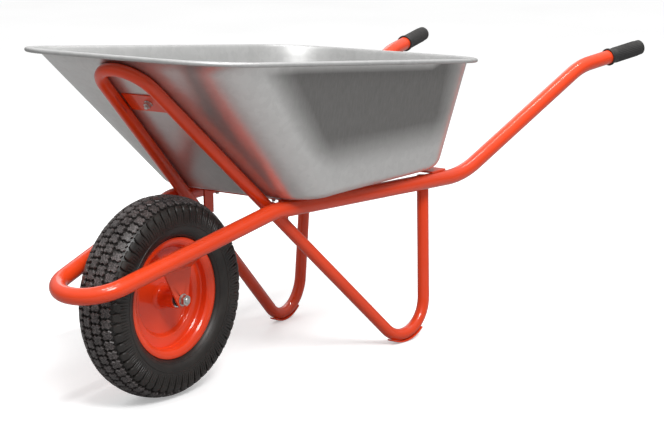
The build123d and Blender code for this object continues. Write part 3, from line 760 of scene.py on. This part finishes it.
def tray_surface():
    """Rows of points from the middle of the floor to the end of the rolled edge."""
    floor = corner_outline(FLOOR_FRONT, FLOOR_REAR, (FLOOR_HALF, FLOOR_HALF), FLOOR_CORNERS)
    mouth = corner_outline(MOUTH_FRONT, MOUTH_REAR, MOUTH_HALVES, MOUTH_CORNERS)
    columns = []
    for low, high in zip(floor, mouth):
        outward = Vector((low[2], low[3], 0)).normalized()
        foot = place(low[0], low[1], FLOOR_Z + SHEET / 2)
        top = place(high[0], high[1], mouth_z(high[0]) - 0.0005)
        inner = foot - outward * 0.075
        wall = rounded([inner, foot, top], [FLOOR_EDGE_RADIUS], 8)
        wall_way = (top - foot).normalized()
        wall_end = top - wall_way * 0.007
        up_wall = [wall[-2].lerp(wall_end, i / 12) for i in range(1, 12)]
        tilt = Vector((1, 0, MOUTH_SLOPE)).normalized()
        out = (tilt * high[2] + Vector((0, 1, 0)) * high[3]).normalized()
        up = Vector((-MOUTH_SLOPE, 0, 1)).normalized()
        edge = [top + out * u + up * w for u, w in lip_section()[1:]]
        columns.append([inner] + wall[1:-1] + up_wall + [wall_end] + edge)
    return columns


def painted_reflection_mask(point):
    """Where the painted dark reflection goes: 1 on the flat side panels, fading to 0 round their edges, with
    a rounded lower front corner.
    """
    x, y, z = point.x - AXLE.x, abs(point.y), point.z
    rise = (z - FLOOR_Z) / (mouth_z(x) - FLOOR_Z)
    half = FLOOR_HALF + (MOUTH_HALVES[0] - FLOOR_HALF) * rise
    floor_front = FLOOR_FRONT + FLOOR_CORNERS[0]
    front = floor_front + (MOUTH_FRONT + MOUTH_CORNERS[0] - floor_front) * rise
    rear = FLOOR_REAR - FLOOR_CORNERS[1] + 0.02
    on_side = 1.0 if y > half - 0.02 and rise < 0.97 else 0.0
    ahead = max(0.0, min(1.0, (x - front + 0.02) / 0.09))
    behind = max(0.0, min(1.0, (rear - x + 0.05) / 0.08))
    low_edge = max(0.0, min(1.0, (z - FLOOR_Z - 0.050) / 0.070))
    corner = max(0.0, 1.0 - hypot(1.0 - ahead, 1.0 - low_edge))
    return on_side * behind * corner


OUTER_FACE = 1


def tray():
    columns = tray_surface()
    rows = [list(row) for row in zip(*columns)]
    build = Build()
    build.rings(rows)
    count = len(columns)
    centre = sum(rows[0], Vector()) / count
    inner_rows = [[p.lerp(centre, share) for p in rows[0]] for share in (0.0, 0.3, 0.6, 0.85)]
    build.rings(inner_rows)
    build.fan(centre, inner_rows[-1])
    piece = build.piece("tray", FINISH["sheet_inside"], "galvanised_sheet", "chassis", 60)
    weld_points(piece)
    # Per-point mask for the painted dark reflection on the side panels.
    mask = piece.data.attributes.new("side_panel_painted_reflection", "FLOAT", "POINT")
    for vertex, item in zip(piece.data.vertices, mask.data):
        item.value = painted_reflection_mask(vertex.co)
    piece.data.materials.append(FINISH["galvanised_sheet"])
    skin = piece.modifiers.new("sheet", "SOLIDIFY")
    skin.thickness = SHEET
    skin.offset = 0.0
    skin.material_offset = OUTER_FACE
    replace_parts(piece, "tray")


def weld_points(piece, distance=0.00002):
    form = bmesh.new()
    form.from_mesh(piece.data)
    bmesh.ops.remove_doubles(form, verts=form.verts, dist=distance)
    bmesh.ops.recalc_face_normals(form, faces=form.faces)
    form.to_mesh(piece.data)
    form.free()


# ---------------------------------------------------------------- fasteners
def nut_rings(origin, axis, flats, height, bore, around=48):
    """A hexagon nut with its chamfered corners."""
    first, second = across_pair(axis)
    chamfer = flats / 2 * 0.97
    rings = []
    for level in range(6):
        ring = []
        for j in range(around):
            turn = 2 * pi * j / around
            sector = (turn + pi / 6) % (pi / 3) - pi / 6
            corner = flats / 2 / cos(sector)
            drop = max(0.0, corner - chamfer) * 0.55
            low_half = [(bore, 0.0), (chamfer, 0.0), (corner, drop)]
            high_half = [(corner, height - drop), (chamfer, height), (bore, height)]
            radius, along = (low_half + high_half)[level]
            ring.append(origin + axis * along + (first * cos(turn) + second * sin(turn)) * radius)
        rings.append(ring)
    return rings


def threaded(radius, start, end, pitch=0.00125):
    """The profile of a threaded length, as plain grooves."""
    depth = pitch * 0.55
    turns = int((end - start) / pitch)
    profile = []
    for i in range(turns):
        at = start + i * pitch
        profile += [(radius - depth, at), (radius, at + 0.3 * pitch), (radius, at + 0.6 * pitch)]
    return profile + [(radius - depth, end - 0.0004), (radius - depth * 1.5, end), (0.0001, end)]


FLOOR_DOWN = Vector((0, 0, -1))
BOLT_SPREAD = 0.073
FRONT_BOLT_X, REAR_BOLT_X = 0.255, 0.661
FRONT_STACK, REAR_STACK, PLATE_STACK = 0.004, 0.004, 0.0032
PLATE_BOLT_SHARE = 0.323
BOLT_RADIUS, BOLT_TAIL = 0.004, 0.005
WASHER_SHEET = 0.0016
NUT_FLATS, NUT_HEIGHT = 0.013, 0.0065
BOLT_HEAD = [
    (0.0001, -0.005), (0.003, -0.0049), (0.006, -0.0041), (0.0082, -0.0026), (0.009, -0.0012),
    (0.0088, -0.001),
]
WASHER = [
    (0.0043, 0.0), (0.0083, 0.0), (0.0085, 0.0003), (0.0085, 0.0013), (0.0082, WASHER_SHEET),
    (0.0043, WASHER_SHEET),
]
AXLE_RADIUS, AXLE_HEAD, AXLE_FLATS, AXLE_PITCH = 0.006, 0.0075, 0.019, 0.00175


def bolt_places():
    """(outside of the tray at the bolt, outward direction, thickness that is clamped)."""
    places = []
    for x, stack in ((FRONT_BOLT_X, FRONT_STACK), (REAR_BOLT_X, REAR_STACK)):
        for y in (-BOLT_SPREAD, BOLT_SPREAD):
            places.append((place(x, y, FLOOR_Z), FLOOR_DOWN, stack))
    top, foot = place(MOUTH_FRONT, 0, MOUTH_FRONT_Z), place(FLOOR_FRONT, 0, FLOOR_Z)
    down = (foot - top).normalized()
    outward = Vector((down.z, 0, -down.x))
    places.append((top.lerp(foot, PLATE_BOLT_SHARE), outward, PLATE_STACK))
    return places


def zinc_fastener(build, name):
    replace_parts(build.piece(name, FINISH["zinc_plate"], "zinc_plate", "chassis", 30), name)


def tray_fasteners():
    bolts, washers, nuts = Build(), Build(), Build()
    for origin, axis, stack in bolt_places():
        washer_at = origin + axis * (stack + 0.0002)
        end = stack + WASHER_SHEET + NUT_HEIGHT + BOLT_TAIL
        shank = [(BOLT_RADIUS, -0.001)] + threaded(BOLT_RADIUS, stack, end)
        bolts.rings(spun(origin, axis, BOLT_HEAD + shank, 32))
        washers.rings(spun(washer_at, axis, WASHER, 40), closed=True)
        nut_at = washer_at + axis * (WASHER_SHEET + 0.0001)
        nuts.rings(nut_rings(nut_at, axis, NUT_FLATS, NUT_HEIGHT, BOLT_RADIUS + 0.00005), closed=True)
    for name, build in (("tray_bolts", bolts), ("tray_washers", washers), ("tray_nuts", nuts)):
        zinc_fastener(build, name)


def axle_fasteners():
    low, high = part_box("axle_bolt")
    nut_low, nut_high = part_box("axle_nut")
    left = Vector((0, -1, 0))
    origin = Vector((AXLE.x, 0, AXLE.z))
    head_start = -high.y
    bolt = Build()
    head = nut_rings(origin + left * head_start, left, AXLE_FLATS, AXLE_HEAD, AXLE_RADIUS - 0.0002)
    bolt.rings(head, closed=True)
    neck = AXLE_RADIUS + 0.0002
    shank = [(0.0001, head_start + 0.0004), (neck, head_start + 0.0004)]
    shank += [(AXLE_RADIUS, head_start + AXLE_HEAD), (AXLE_RADIUS, -nut_low.y - 0.020)]
    thread = threaded(AXLE_RADIUS, -nut_low.y - 0.019, -low.y, AXLE_PITCH)
    bolt.rings(spun(origin, left, shank + thread, 40))
    zinc_fastener(bolt, "axle_bolt")
    nut = Build()
    nut_height = nut_high.y - nut_low.y
    nut_form = nut_rings(origin + left * -nut_high.y, left, AXLE_FLATS, nut_height, AXLE_RADIUS + 0.00005)
    nut.rings(nut_form, closed=True)
    zinc_fastener(nut, "axle_nut")


# ---------------------------------------------------------------- wheel
RIM_SHEET = 0.0022
RIM_SECTION = [
    (0.027, 0.0011), (0.073, 0.0011), (0.0775, 0.0119), (0.098, 0.0119), (0.1005, 0.0149),
    (0.1005, 0.0266), (0.1035, 0.0302), (0.1085, 0.0326), (0.116, 0.0336),
]
RIM_ROUNDINGS = [0.0035, 0.0035, 0.0016, 0.002, 0.0018, 0.0045, 0.012]


def beside(run, distance):
    """Points beside a flat run of (radius, y) points."""
    moved = []
    for i, here in enumerate(run):
        ahead = (run[min(i + 1, len(run) - 1)] - run[max(i - 1, 0)]).normalized()
        moved.append(here + Vector((-ahead.y, ahead.x)) * distance)
    return moved


def rim_half(side):
    points = [Vector((r, y, 0)) for r, y in RIM_SECTION]
    middle = [Vector((p.x, p.y)) for p in rounded(points, RIM_ROUNDINGS, 5)]
    outer = beside(middle, RIM_SHEET / 2)
    inner = beside(middle, -RIM_SHEET / 2)
    bead = middle[-1] + (middle[-1] - middle[-2]).normalized() * (RIM_SHEET / 2)
    loop = outer + [bead] + inner[::-1]
    build = Build()
    build.rings(spun(AXLE, Vector((0, side, 0)), [(p.x, p.y) for p in loop], 160), closed=True)
    name = ("right" if side > 0 else "left") + "_rim_half"
    piece = build.piece(name, FINISH["rim_paint"], "rim_paint", "wheel", 50)
    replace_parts(piece, name)


HUB_HALF = 0.042
HUB_RADIUS = 0.0185
BEARING_SEAT_RADIUS = 0.016


def hub():
    """A turned barrel with chamfered ends and a fillet weld to the discs."""
    half, seat, barrel = HUB_HALF, BEARING_SEAT_RADIUS, HUB_RADIUS
    section = [(0.0132, -half + 0.0112), (seat, -half + 0.011), (seat, -half + 0.0006)]
    section.append((seat + 0.0006, -half))
    section += [(barrel - 0.0008, -half), (barrel, -half + 0.0008), (barrel, -0.0066)]
    section += [(0.0198, -0.0046), (0.0230, -0.0032), (0.0268, -0.0024)]
    section += [(r, -y) for r, y in section[::-1]]
    build = Build()
    build.rings(spun(AXLE, Vector((0, 1, 0)), section, 72), closed=True)
    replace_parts(build.piece("hub", FINISH["rim_paint"], "rim_paint", "wheel", 35), "hub")


TREAD_DEPTH = 0.0062
TREAD_FOOT_RADIUS = 0.181
WALL_POINTS = [
    (0.1888, 0.0), (0.1878, 0.012), (0.1845, 0.026), (0.1780, 0.0365), (0.1695, 0.0437), (0.160, 0.0478),
    (0.148, 0.0494), (0.132, 0.0462), (0.1215, 0.0385), (0.1175, 0.032),
]
BLOCKS_ROUND = 55
BLOCK_GAP = 0.0024
ROW_WIDTH = 0.0200
SUNK = 0.001
SIDE_RINGS = [(0.0800, 0.0009, 0.0026), (0.0985, 0.0006, 0.0030), (0.1120, 0.0006, 0.0020)]
STAR = [
    (-0.50, -0.16), (-0.30, -0.50), (-0.06, -0.33), (0.22, -0.50), (0.50, -0.24), (0.35, 0.04),
    (0.50, 0.30), (0.26, 0.50), (0.05, 0.33), (-0.22, 0.50), (-0.50, 0.26), (-0.35, 0.0),
]


class Carcass:
    """The tyre's outer skin, addressed by turn, distance across from the crown, and height."""

    def __init__(self):
        half = [Vector((r, y)) for r, y in WALL_POINTS]
        whole = [Vector((p.x, -p.y)) for p in half[:0:-1]] + half
        self.run = flowing(whole, 6)
        middle = min(range(len(self.run)), key=lambda i: abs(self.run[i].y))
        self.reach = [0.0] * len(self.run)
        for i in range(middle + 1, len(self.run)):
            self.reach[i] = self.reach[i - 1] + (self.run[i] - self.run[i - 1]).length
        for i in range(middle - 1, -1, -1):
            self.reach[i] = self.reach[i + 1] - (self.run[i] - self.run[i + 1]).length

    def section(self, across, height):
        k = 0
        while k < len(self.reach) - 2 and self.reach[k + 1] < across:
            k += 1
        share = (across - self.reach[k]) / (self.reach[k + 1] - self.reach[k])
        here = self.run[k].lerp(self.run[k + 1], share)
        way = (self.run[min(k + 2, len(self.run) - 1)] - self.run[max(k - 1, 0)]).normalized()
        return here + Vector((way.y, -way.x)) * height

    def top_share(self, point):
        """1 on the tops of the tread blocks, 0 on the skin between them and on the side walls."""
        radius = hypot(point.x - AXLE.x, point.z - AXLE.z)
        if radius < TREAD_FOOT_RADIUS:
            return 0.0
        spot = Vector((radius, point.y))
        nearest = min((spot - p).length for p in self.run)
        return max(0.0, min(1.0, (nearest - 0.003) / 0.0015))

    def point(self, turn, across, height):
        spot = self.section(across, height)
        return AXLE + Vector((spot.x * cos(turn), spot.y, spot.x * sin(turn)))


def star_block(build, skin, turn, across, flip):
    """One tread block with a zigzag outline, sunk into the skin, with a chamfered top."""
    pitch = 2 * pi / BLOCKS_ROUND
    length = pitch - BLOCK_GAP / 0.195
    width = ROW_WIDTH - BLOCK_GAP * 0.8
    depth = TREAD_DEPTH - 0.0002 - draw.uniform(0, 0.0003)
    rings = []
    for grow, height in ((1.08, -SUNK), (1.02, depth * 0.80), (0.90, depth)):
        ring = []
        for s, t in STAR:
            ring.append(skin.point(turn + s * flip * length * grow, across + t * width * grow, height))
        rings.append(ring)
    build.rings(rings)
    build.fan(skin.point(turn, across, depth), rings[-1])


def raised_bar(build, skin, stations):
    """A bar laid across the skin; each station is (across, left turn, right turn, height)."""
    rings = []
    for across, left, right, height in stations:
        chamfer = (right - left) * 0.10
        rings.append([
            skin.point(left - chamfer * 0.4, across, -SUNK), skin.point(left, across, height * 0.75),
            skin.point(left + chamfer, across, height), skin.point(right - chamfer, across, height),
            skin.point(right, across, height * 0.75), skin.point(right + chamfer * 0.4, across, -SUNK),
        ])
    build.rings(rings)
    for ring in (rings[0], rings[-1]):
        build.add(ring, [tuple(range(6))])


def shoulder(build, skin, turn, side):
    """A shoulder block that runs on down the side wall as three ribs."""
    pitch = 2 * pi / BLOCKS_ROUND
    left, right = turn - pitch * 0.43, turn + pitch * 0.43
    shelf = pitch * 0.10
    block = [
        (0.0412, left + shelf, right - 2 * shelf, 0.0040), (0.0432, left + shelf, right - shelf, 0.0058),
        (0.0480, left, right, 0.0056), (0.0530, left + shelf * 0.5, right, 0.0044),
        (0.0560, left, right, 0.0028),
    ]
    raised_bar(build, skin, [(side * a, l, r, h) for a, l, r, h in block])
    for k in range(3):
        start = left + (right - left) * (k / 3 + 0.015)
        end = left + (right - left) * ((k + 1) / 3 - 0.035)
        rib = [(0.0545, start, end, 0.0034), (0.0600, start, end, 0.0024), (0.0680, start, end, 0.0015)]
        length = 0.0770 if k == 1 else 0.0740
        rib.append((length, start, end, 0.0006))
        raised_bar(build, skin, [(side * a, l, r, h) for a, l, r, h in rib])


def side_ring(build, skin, across, height, width):
    """A thin raised ring moulded round the side wall."""
    section = []
    for share, rise in ((-1, -0.0006), (-0.5, height * 0.8), (0, height), (0.5, height * 0.8), (1, -0.0006)):
        spot = skin.section(across + share * width / 2, rise)
        section.append((spot.x, spot.y))
    build.rings(spun(AXLE, Vector((0, 1, 0)), section, 180), closed=True)


def tyre():
    skin = Carcass()
    build = Build()
    foot = [(0.1085, 0.0304), (0.102, 0.0245), (0.102, 0.017), (0.110, 0.019)]
    cavity = [(0.125, 0.038), (0.148, 0.044), (0.170, 0.040), (0.180, 0.028), (0.183, 0.0)]
    outside = [(p.x, p.y) for p in skin.run]
    right_side = foot + cavity
    left_side = [(r, -y) for r, y in right_side[::-1][1:]]
    build.rings(spun(AXLE, Vector((0, 1, 0)), outside + right_side + left_side, 220), closed=True)
    pitch = 2 * pi / BLOCKS_ROUND
    rows = [(-0.0302, 0.0), (-0.0101, 0.5), (0.0101, 0.0), (0.0302, 0.5)]
    for across, stagger in rows:
        for i in range(BLOCKS_ROUND):
            star_block(build, skin, (i + stagger) * pitch, across, 1 if across < 0 else -1)
    for side in (-1, 1):
        for i in range(BLOCKS_ROUND):
            shoulder(build, skin, (i + (0.5 if side < 0 else 0.0)) * pitch, side)
        for across, height, width in SIDE_RINGS:
            side_ring(build, skin, side * across, height, width)
    piece = build.piece("tyre", FINISH["tyre_rubber"], "tyre_rubber", "wheel", 28)
    tops = piece.data.attributes.new("tread_top", "FLOAT", "POINT")
    for vertex, item in zip(piece.data.vertices, tops.data):
        item.value = skin.top_share(vertex.co)
    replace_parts(piece, "tyre")


# ---------------------------------------------------------------- kept frame nodes
KEPT = {
    "frame_paint": [
        "front_cross_member", "rear_cross_member", "brace_plate", "left_axle_bracket", "right_axle_bracket",
        "left_skid_plate", "right_skid_plate"],
    "zinc_plate": ["axle_washers", "axle_spacers", "centre_spacer"],
    "bearing_steel": ["bearing_inner_rings", "bearing_outer_rings", "bearing_balls"],
    "tube_rubber": ["inner_tube", "valve_stem", "bearing_seals"],
    "cap_plastic": ["valve_cap"],
}
EDGES_EASED = {
    "front_cross_member": 0.0009, "rear_cross_member": 0.0008, "brace_plate": 0.0007,
    "left_axle_bracket": 0.0009, "right_axle_bracket": 0.0009, "axle_washers": 0.0003,
    "left_skid_plate": 0.0007, "right_skid_plate": 0.0007, "valve_cap": 0.0006,
}


def dress_kept_nodes():
    """Gives the frame's own nodes their finishes, and eases the edges of the plates."""
    for finish, names in KEPT.items():
        for name in names:
            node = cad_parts[name]
            node.data.materials.clear()
            node.data.materials.append(FINISH[finish])
            if name in EDGES_EASED:
                joined = node.modifiers.new("joined", "WELD")
                joined.merge_threshold = 0.00001
                eased = node.modifiers.new("eased", "BEVEL")
                eased.width = EDGES_EASED[name]
                eased.segments = 2
                eased.limit_method = "ANGLE"
                eased.angle_limit = radians(40)
                eased.harden_normals = False


# ---------------------------------------------------------------- studio
def studio_floor():
    """A flat floor: pale and a little luminous to the camera, darker to the light that meets it."""
    finish = Finish("studio_floor", Metallic=0.0, Specular_IOR_Level=0.2, Emission_Strength=0.34)
    spot = finish.node("ShaderNodeTexCoord").outputs["Object"]
    mottle = finish.noise(spot, 1.3, 4.0)
    seen = finish.node("ShaderNodeLightPath").outputs["Is Camera Ray"]
    pale = finish.blend(finish.span(mottle, 0.3, 0.7), (0.87, 0.87, 0.87, 1), (0.90, 0.90, 0.90, 1))
    finish.feed("Base Color", finish.blend(seen, (0.34, 0.34, 0.34, 1), pale))
    finish.feed("Emission Color", finish.blend(seen, (0, 0, 0, 1), (1, 1, 1, 1)))
    finish.feed("Roughness", finish.span(mottle, 0.3, 0.7, 0.55, 0.70))
    reach = 14.0
    mesh = bpy.data.meshes.new("studio_floor")
    corners = [(-reach, -reach, 0), (reach, -reach, 0), (reach, reach, 0), (-reach, reach, 0)]
    mesh.from_pydata(corners, [], [(0, 1, 2, 3)])
    mesh.materials.append(finish.material)
    floor = bpy.data.objects.new("studio_floor", mesh)
    scene.collection.objects.link(floor)


def soft_box(name, spot, target, size, power):
    light = bpy.data.lights.new(name, "AREA")
    light.shape = "RECTANGLE"
    light.size, light.size_y = size
    light.energy = power
    lamp = bpy.data.objects.new(name, light)
    lamp.location = spot
    lamp.rotation_euler = (target - spot).to_track_quat("-Z", "Y").to_euler()
    scene.collection.objects.link(lamp)


def studio_air():
    """Plain white behind the barrow, and a soft gradient, bright above, for what falls on it."""
    world = bpy.data.worlds.new("studio_air")
    world.use_nodes = True
    n = Nodes(world.node_tree)
    direction = n.node("ShaderNodeSeparateXYZ", {"Vector": n.node("ShaderNodeTexCoord").outputs["Generated"]})
    level = n.span(direction.outputs["Z"], -0.05, 0.8, 0.15, 0.85)
    plain = world.node_tree.nodes["Background"]
    plain.inputs["Color"].default_value = (1, 1, 1, 1)
    soft = n.node("ShaderNodeBackground", {"Color": (1, 1, 1, 1), "Strength": level})
    seen = n.node("ShaderNodeLightPath").outputs["Is Camera Ray"]
    mixed = n.node("ShaderNodeMixShader", {0: seen, 1: soft.outputs[0], 2: plain.outputs[0]})
    n.tree.links.new(mixed.outputs[0], n.tree.nodes["World Output"].inputs["Surface"])
    scene.world = world


def lights():
    middle = Vector((0, 0, 0.35))
    soft_box("key", Vector((-1.8, -2.6, 3.4)), middle, (1.3, 1.3), 118)
    soft_box("strip", Vector((0.0, -0.6, 3.2)), middle, (3.6, 0.07), 62)
    soft_box("back_fill", Vector((2.4, 2.6, 2.4)), middle, (2.0, 1.4), 12)
    studio_air()


CAMERA_SPOT = place(-2.5239, -2.3192, 1.0455)
CAMERA_HEADING, CAMERA_DIP, CAMERA_ROLL = radians(52.896), radians(11.457), radians(-0.770)
CAMERA_LENS = 99.85


def camera():
    heading, dip, roll = CAMERA_HEADING, CAMERA_DIP, CAMERA_ROLL
    ahead = Vector((sin(heading) * cos(dip), cos(heading) * cos(dip), -sin(dip)))
    level = Vector((cos(heading), -sin(heading), 0))
    upward = level.cross(ahead)
    right = level * cos(roll) + upward * sin(roll)
    top = upward * cos(roll) - level * sin(roll)
    data = bpy.data.cameras.new("camera")
    data.lens = CAMERA_LENS
    data.sensor_width = 36
    data.clip_end = 100
    viewer = bpy.data.objects.new("camera", data)
    turn = Matrix((right, top, -ahead)).transposed().to_4x4()
    viewer.matrix_world = Matrix.Translation(CAMERA_SPOT) @ turn
    scene.collection.objects.link(viewer)
    scene.camera = viewer


# ---------------------------------------------------------------- assembly
frame_tubes()
for hand in (1, -1):
    grip(hand)
    rim_half(hand)
tray()
tray_fasteners()
axle_fasteners()
hub()
tyre()
dress_kept_nodes()
studio_floor()
lights()
camera()
